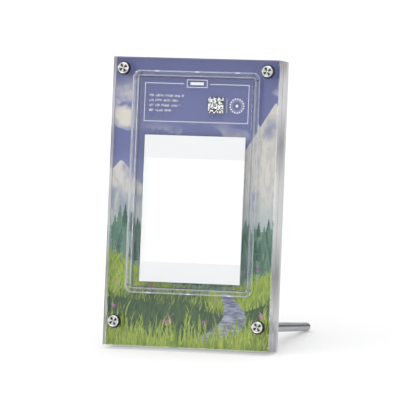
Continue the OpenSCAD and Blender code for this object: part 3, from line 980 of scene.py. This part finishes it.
def turned_steel():
    """Bright steel with painted dark wedges of reflection, and a painted dark rim of shade at the
    edge.
    """
    paint = Paint("turned_steel")
    place = panel_place(paint)
    x, _, z = axes_of(paint, place)
    spot_x, high_z, low_z = SCREW_SPOTS[1][0], SCREW_SPOTS[0][1], SCREW_SPOTS[2][1]
    dx = x - x.math("SIGN") * spot_x
    dz = z - (low_z + (high_z - low_z) * (z > PLATE_H / 2))
    radius = (dx * dx + dz * dz).math("SQRT")
    angle = dz.math("ARCTAN2", dx)
    # Painted reflection: dark wedges by the angle round each screw; painted shade: a dark rim at
    # the edge.
    fans = (WEDGES * (angle - WEDGE_TURN)).math("COSINE")
    painted_dark_wedge = fans.smooth(*WEDGE_SOFT) * radius.smooth(*WEDGE_INNER) * radius.smooth(*WEDGE_OUTER)
    painted_dark = painted_dark_wedge.math("MAXIMUM", PAINTED_DARK_RIM_SHARE * radius.smooth(*PAINTED_DARK_RIM))
    grain = noise(paint, place, 4.0, 3.0)
    bright = paint.mix(grain, colour("#e6e6e7"), colour("#fbfbfa"))
    base = paint.mix(painted_dark, bright, colour("#454342"))
    sockets = {"Base Color": base, "Metallic": 0.6, "Roughness": 0.2 + 0.12 * grain}
    return paint.surface(paint.add("BsdfPrincipled", None, sockets))


screw_steel = turned_steel()
SEAT_Y = panel_box("screw_washers")[0][1]
NEXT_TURN = 0.4
for node in ("upper_screws", "lower_screws"):
    low, high = panel_box(node)
    screw = turned_screw("turned_" + node, low[1], SEAT_Y, high[1])
    spots = [(x, 0, z, NEXT_TURN * i, 1, 1, 0) for i, (x, z) in enumerate(screw_spots(node)[0])]
    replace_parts(set_out("turned_" + node, screw, spots, screw_steel), node)

# %% [markdown]
# The legs are drawn steel rod, polished along their length, so the streaks run with the
# rod: the noise is squeezed round it and stretched along it. The washers are black rubber,
# with a fine grain that keeps their thin rims from looking like ink.

# %% Rod and washers


def drawn_steel():
    paint = Paint("drawn_steel")
    place = panel_place(paint)
    streaks = noise(paint, stretched(paint, place, 1.0, 0.012, 1.0), 1.6, 3.0, 0.6)
    cloud = noise(paint, place, 0.12, 2.0)
    base = paint.mix(streaks.smooth(0.3, 0.7), colour("#aeafb2"), colour("#dadbde"))
    normal = paint.add("Bump", None, {"Strength": 0.05, "Distance": 0.02 * MM, "Height": streaks})
    sockets = {"Base Color": base, "Metallic": 1.0, "Roughness": 0.17 + 0.08 * cloud,
               "Normal": normal}
    return paint.surface(paint.add("BsdfPrincipled", None, sockets))


def washer_rubber():
    paint = Paint("washer_rubber")
    grain = noise(paint, panel_place(paint), 9.0, 3.0)
    normal = paint.add("Bump", None, {"Strength": 0.3, "Distance": 0.03 * MM, "Height": grain})
    base = paint.mix(grain, colour("#151517"), colour("#2a2a2d"))
    sockets = {"Base Color": base, "Roughness": 0.55 + 0.2 * grain, "Normal": normal}
    return paint.surface(paint.add("BsdfPrincipled", None, sockets))


dress(drawn_steel(), "left_leg", "right_leg")
dress(washer_rubber(), "screw_washers")
print("rod and washers dressed")

# %% [markdown]
# The card is blank smooth white board with faint grey bands at its ends and its left side.
# The border of the label is white ink on clear film, so it is a little bluer than the card.

# %% Card and label border
CARD_LOW, CARD_HIGH = panel_box("card")
CARD_BANDS = {"top": 14.2, "foot": 12.4, "left": 5.0, "left_start": 1.0}
BAND_SOFT = 0.5


def card_stock():
    """White board; the bands fade in over half a millimetre, and the left one slowly."""
    paint = Paint("card_stock")
    place = panel_place(paint)
    x, _, z = axes_of(paint, place)
    top_z, foot_z = CARD_HIGH[2] - CARD_BANDS["top"], CARD_LOW[2] + CARD_BANDS["foot"]
    top = z.smooth(top_z, top_z + BAND_SOFT)
    foot = 1 - z.smooth(foot_z - BAND_SOFT, foot_z)
    left = 1 - x.smooth(CARD_LOW[0] + CARD_BANDS["left_start"], CARD_LOW[0] + CARD_BANDS["left"])
    band = top.math("MAXIMUM", foot).math("MAXIMUM", 0.6 * left)
    fibre = noise(paint, place, 3.0, 2.0)
    base = paint.mix(band, colour("#fdfdfd"), colour("#eeeeee"))
    normal = paint.add("Bump", None, {"Strength": 0.05, "Distance": 0.02 * MM, "Height": fibre})
    sockets = {"Base Color": base, "Roughness": 0.4 + 0.1 * fibre, "Normal": normal}
    return paint.surface(paint.add("BsdfPrincipled", None, sockets))


def white_line():
    """The label's border: white ink, a little thin in places."""
    paint = Paint("label_line")
    grain = noise(paint, panel_place(paint), 8.0, 1.0)
    base = paint.mix(grain, colour("#e2e3ee"), colour("#f4f4fa"))
    return paint.surface(paint.add("BsdfPrincipled", None, {"Base Color": base, "Roughness": 0.5}))


dress(card_stock(), "card")
dress(white_line(), "label_border")
print(f"card {CARD_HIGH[0] - CARD_LOW[0]:.1f} x {CARD_HIGH[2] - CARD_LOW[2]:.1f} mm dressed")

# %% [markdown]
# The label carries small white print, and nothing on it can be read. Four rows of short
# ticks with chance heights stand at the left, and the tablet at the top holds a plain bar.
# Their places are measured from the border, so they stay with it.

# %% Rows of ticks on the label
border_points = upright_points("label_border") - np.array(CORNER)
BORDER_LEFT = border_points[:, 0].min()
BORDER_TOP = border_points[border_points[:, 0] < BORDER_LEFT + 0.1][:, 2].max()
PRINT_Y = border_points[:, 1].min()
TICKS = {"lengths": (21.6, 17.6, 19.2, 14.6), "left": 3.4, "top": 7.6, "spacing": 2.98,
         "height": 1.6, "step": 0.72, "gap": 1.7, "tone": 0.8}
dice = np.random.default_rng(7)
marks = []


def add_mark(x, z, width, height, turn=0, tone=1):
    """One mark of the print: its middle, its size, its turn, and 1 for white or 0 for black."""
    marks.append((x, PRINT_Y, z, turn, width, height, tone))


def tick_line(x, z, length, height):
    """A row of short ticks of chance heights, in groups of a few, that reads as fine print."""
    end, left_in_group = x + length, 4
    while x < end:
        tall = height * float(dice.uniform(0.45, 1.0))
        drop = float(dice.choice((-1, 0, 1))) * (height - tall) / 2
        add_mark(x, z + drop, float(dice.uniform(0.26, 0.5)), tall, tone=TICKS["tone"])
        left_in_group -= 1
        x += TICKS["step"] if left_in_group else TICKS["gap"]
        left_in_group = left_in_group or int(dice.integers(3, 8))


for i, length in enumerate(TICKS["lengths"]):
    tick_line(BORDER_LEFT + TICKS["left"], BORDER_TOP - TICKS["top"] - TICKS["spacing"] * i,
              length, TICKS["height"])
TABLET_BAR = (8.4, 1.7)
add_mark(0, BORDER_TOP, *TABLET_BAR)
print(len(marks), "ticks and the bar of the tablet")

# %% [markdown]
# At the right of the rows stand a square of cells that are black or white by chance, a column
# of short dashes, and two rings of ticks round a dot. One unit square is the item for every
# mark, and the tone of a mark chooses between white and black ink.

# %% Square of cells and rings of ticks
CELLS, SQUARE_SIZE, SQUARE_LEFT, SQUARE_TOP = 15, 9.5, 7.5, BORDER_TOP - 7.9
WHITE_SHARE = 0.55
cell = SQUARE_SIZE / CELLS
for row in range(CELLS):
    for column in range(CELLS):
        add_mark(SQUARE_LEFT + (column + 0.5) * cell, SQUARE_TOP - (row + 0.5) * cell, cell, cell,
                 tone=float(dice.random() < WHITE_SHARE))

DASHES, DASH_X, DASH_DROP, DASH_STEP, DASH_SIZE = 7, 19.2, 0.9, 1.3, (0.7, 0.45)
for i in range(DASHES):
    add_mark(DASH_X, SQUARE_TOP - DASH_DROP - DASH_STEP * i, *DASH_SIZE, tone=TICKS["tone"])

ROUND_X, ROUND_Z, DOT_SIZE = 25.6, BORDER_TOP - 12.8, 1.5
TICK_RINGS = ((4.2, 17, 0.75, 1.05), (3.0, 40, 0.55, 0.12))
for radius, count, width, height in TICK_RINGS:
    for i in range(count):
        a = 2 * math.pi * i / count
        add_mark(ROUND_X + radius * math.cos(a), ROUND_Z + radius * math.sin(a), width, height,
                 turn=math.pi / 2 - a)
add_mark(ROUND_X, ROUND_Z, DOT_SIZE, DOT_SIZE, turn=math.pi / 4)


def label_print():
    """White ink where the tone is 1, and black ink where it is 0."""
    paint = Paint("label_print")
    tone = paint.add("Attribute", {"attribute_name": "tone"}, out="Fac")
    grain = noise(paint, panel_place(paint), 8.0, 1.0)
    base = paint.mix(tone, colour("#202026"), colour("#f4f4f6"))
    sockets = {"Base Color": base, "Roughness": 0.5 + 0.1 * grain}
    return paint.surface(paint.add("BsdfPrincipled", None, sockets))


mark = flat_mesh("mark", [(-0.5, -0.5), (0.5, -0.5), (0.5, 0.5), (-0.5, 0.5)])
set_out("label_small_print", mark, marks, label_print())

# %% [markdown]
# A white cloth gives the pure white ground. The polished legs and screws mirror it, so for
# glossy rays it is a little darker near the object, and far darker a hand's width out, as if
# the cloth ended there. It also glows a little, which keeps it white where the light is weak.

# %% Floor
FLOOR_SIZE = 60.0
FLOOR_GLOW = 0.14
MIRRORED_EDGE = (0.09, 0.16)


def floor_cloth():
    paint = Paint("floor_white")
    glossy = paint.add("LightPath", out="Is Glossy Ray")
    ground = paint.add("TexCoord", out="Object")
    away = paint.add("VectorMath", {"operation": "LENGTH"}, {0: ground}, out="Value")
    near, far = (0.6, 0.6, 0.61, 1), (0.1, 0.1, 0.105, 1)
    mirrored = paint.mix(away.smooth(*MIRRORED_EDGE), near, far)
    base = paint.mix(glossy, (0.93, 0.93, 0.93, 1), mirrored)
    weave = noise(paint, ground, 400.0, 2.0)
    sockets = {"Base Color": base, "Roughness": 0.85 + 0.1 * weave,
               "Emission Color": (1, 1, 1, 1), "Emission Strength": FLOOR_GLOW}
    bpy.ops.mesh.primitive_plane_add(size=FLOOR_SIZE, location=(0, 0, 0))
    floor = bpy.context.object
    floor.name = "floor"
    floor.data.materials.append(paint.surface(paint.add("BsdfPrincipled", None, sockets)))


floor_cloth()
print(f"floor of {FLOOR_SIZE:.0f} m laid")

# %% [markdown]
# A white tent of light gives the soft shadow. Polished metal in a white tent would look like
# paper, so a photographer hangs black flags with small lamps between them. Here the world
# does that: rays that have just left a gloss surface meet dark flags, two round lamps, one
# high and one at the left, and a light card behind the object. All other rays meet the even
# white tent. A wide soft sun from high in front adds the shadow behind the object. It isn't
# mirrored, because the front plate would show it as a grey veil.

# %% Light and background
TENT = 0.86
FLAG, TOP_LIGHT, CARD_LIGHT, LAMP_LIGHT = 0.1, 0.5, 0.8, 9.0
LAMP_INNER, LAMP_OUTER = 12, 19


def aim_at(azimuth, elevation):
    """A direction from the object: azimuth 0 is in front of it, positive to the right."""
    a, e = math.radians(azimuth), math.radians(elevation)
    return Vector((math.sin(a) * math.cos(e), -math.cos(a) * math.cos(e), math.sin(e)))


def lamp_mask(paint, direction, azimuth, elevation):
    """1 inside a round lamp in the given direction, fading out at its rim."""
    facing = paint.add("VectorMath", {"operation": "DOT_PRODUCT"},
                       {0: direction, 1: aim_at(azimuth, elevation).normalized()}, out="Value")
    rim, core = math.cos(math.radians(LAMP_OUTER)), math.cos(math.radians(LAMP_INNER))
    return facing.smooth(rim, core)


def studio_world():
    paint = Paint("studio", "World")
    direction = paint.add("TexCoord", out="Generated")
    _, depth, height = axes_of(paint, direction)
    behind = depth.smooth(0.3, 0.6) * height.smooth(0.1, 0.14)
    flags = FLAG + TOP_LIGHT * height.smooth(0.75, 1.0) + CARD_LIGHT * behind
    high_lamp = lamp_mask(paint, direction, -8, 44)
    left_lamp = lamp_mask(paint, direction, -56, 6)
    gloss = flags + LAMP_LIGHT * high_lamp + LAMP_LIGHT * left_lamp
    strength = paint.add("Mix", {"data_type": "FLOAT"}, {
        "Factor": paint.add("LightPath", out="Is Glossy Ray"), "A": TENT, "B": gloss})
    return paint.surface(paint.add("Background", None, {"Strength": strength}))


def sky_panel(azimuth, elevation, spread, strength):
    """A wide soft lamp far away, so the cloth is lit evenly to its ends."""
    light = bpy.data.lights.new("sky_panel", "SUN")
    light.angle = math.radians(spread)
    light.energy = strength
    lamp = bpy.data.objects.new("sky_panel", light)
    lamp.visible_glossy = False
    lamp.rotation_euler = (-aim_at(azimuth, elevation)).to_track_quat("-Z", "Y").to_euler()
    scene.collection.objects.link(lamp)


scene.world = studio_world()
sky_panel(azimuth=-12, elevation=50, spread=90, strength=1.235)
scene.view_settings.view_transform = "Standard"
scene.view_settings.look = "None"
print("studio lit")
